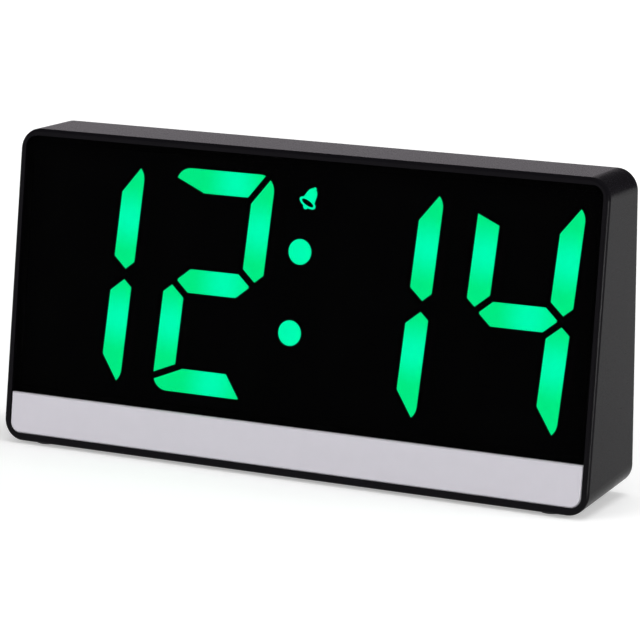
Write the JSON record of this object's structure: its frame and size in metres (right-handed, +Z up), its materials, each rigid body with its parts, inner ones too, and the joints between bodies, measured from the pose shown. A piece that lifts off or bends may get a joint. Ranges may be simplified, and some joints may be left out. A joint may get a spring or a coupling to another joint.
{
  "type": "digital led desk clock",
  "caption": "Free-standing digital LED desk clock with a leaning smoked front, green seven-segment time, silver strip, rear push buttons, alarm switch, battery cap and power inlet.",
  "frame": {"origin": "middle of the clock's outline on the table, below its feet", "axes": "+X along the width, to the right as seen from the front; +Y from the front to the rear; +Z up"},
  "size_m": [0.165, 0.0286, 0.0807],
  "materials": {
    "case_plastic": "black fine-textured moulded plastic",
    "cover_plastic": "black textured moulded plastic",
    "smoked_lens": "glossy dark smoked acrylic",
    "adhesive": "black foam tape",
    "silver_plastic": "satin silver paint on plastic",
    "foot_rubber": "matt black rubber",
    "screw_steel": "blackened steel",
    "reflector_plastic": "black moulded plastic",
    "dark_diffuser": "unlit smoky diffuser",
    "led_resin": "pale resin",
    "board_resin": "green lacquered board",
    "chip_resin": "black moulded resin",
    "can_metal": "drawn can",
    "nickel": "nickel-plated spring strip",
    "inlet_metal": "plated steel shell",
    "cell_steel": "satin steel can",
    "black_nylon": "black nylon",
    "white_nylon": "natural nylon",
    "ribbon_vinyl": "grey vinyl",
    "button_plastic": "black moulded plastic",
    "lit_diffuser": "glowing green diffuser"
  },
  "bodies": {
    "clock": {"front_case": "case_plastic", "rear_cover": "cover_plastic", "front_lens": "smoked_lens", "lens_tape": "adhesive", "silver_trim": "silver_plastic", "cover_screws": "screw_steel", "reflector_frame": "reflector_plastic", "colon_dots": "lit_diffuser", "bell_icon": "lit_diffuser", "segment_leds": "led_resin", "display_board": "board_resin", "display_screws": "screw_steel", "driver_chips": "chip_resin", "display_connector": "white_nylon", "ribbon_cable": "ribbon_vinyl", "board_connector": "white_nylon", "main_board": "board_resin", "board_screws": "screw_steel", "controller_chip": "chip_resin", "clock_crystal": "can_metal", "capacitors": "can_metal", "buzzer": "chip_resin", "power_inlet": "inlet_metal", "inlet_tongue": "black_nylon", "battery_holder": "black_nylon", "battery_spring": "nickel", "battery_clip": "nickel", "coin_cell": "cell_steel", "switch_bodies": "black_nylon", "slide_switch_body": "black_nylon", "digit_1_lit": "lit_diffuser", "digit_1_dark": "dark_diffuser", "digit_2_lit": "lit_diffuser", "digit_2_dark": "dark_diffuser", "digit_3_lit": "lit_diffuser", "digit_3_dark": "dark_diffuser", "digit_4_lit": "lit_diffuser", "digit_4_dark": "dark_diffuser", "foot_front_left": "foot_rubber", "foot_front_right": "foot_rubber", "foot_rear_left": "foot_rubber", "foot_rear_right": "foot_rubber"},
    "time_button": {"time_button": "button_plastic", "time_plunger": "white_nylon"},
    "alarm_button": {"alarm_button": "button_plastic", "alarm_plunger": "white_nylon"},
    "down_button": {"down_button": "button_plastic", "down_plunger": "white_nylon"},
    "up_button": {"up_button": "button_plastic", "up_plunger": "white_nylon"},
    "dimmer_button": {"dimmer_button": "button_plastic", "dimmer_plunger": "white_nylon"},
    "alarm_switch": {"alarm_switch_knob": "button_plastic"},
    "battery_cap": {"battery_cap": "cover_plastic"}
  },
  "joints": [
    {"name": "time_press", "type": "slide", "parent": "clock", "child": "time_button", "axis": [0, -1, 0], "range_m": [0, 0.0005], "stiffness_N_per_m": 1200},
    {"name": "alarm_press", "type": "slide", "parent": "clock", "child": "alarm_button", "axis": [0, -1, 0], "range_m": [0, 0.0005], "stiffness_N_per_m": 1200},
    {"name": "down_press", "type": "slide", "parent": "clock", "child": "down_button", "axis": [0, -1, 0], "range_m": [0, 0.0005], "stiffness_N_per_m": 1200},
    {"name": "up_press", "type": "slide", "parent": "clock", "child": "up_button", "axis": [0, -1, 0], "range_m": [0, 0.0005], "stiffness_N_per_m": 1200},
    {"name": "dimmer_press", "type": "slide", "parent": "clock", "child": "dimmer_button", "axis": [0, -1, 0], "range_m": [0, 0.0005], "stiffness_N_per_m": 1200},
    {"name": "alarm_switch_slide", "type": "slide", "parent": "clock", "child": "alarm_switch", "axis": [1, 0, 0], "range_m": [0, 0.0025]},
    {"name": "battery_cap_turn", "type": "hinge", "parent": "clock", "child": "battery_cap", "pos_m": [-0.046, 0.01198, 0.02175], "axis": [0, 1, 0], "range_deg": [0, 45]}
  ]
}
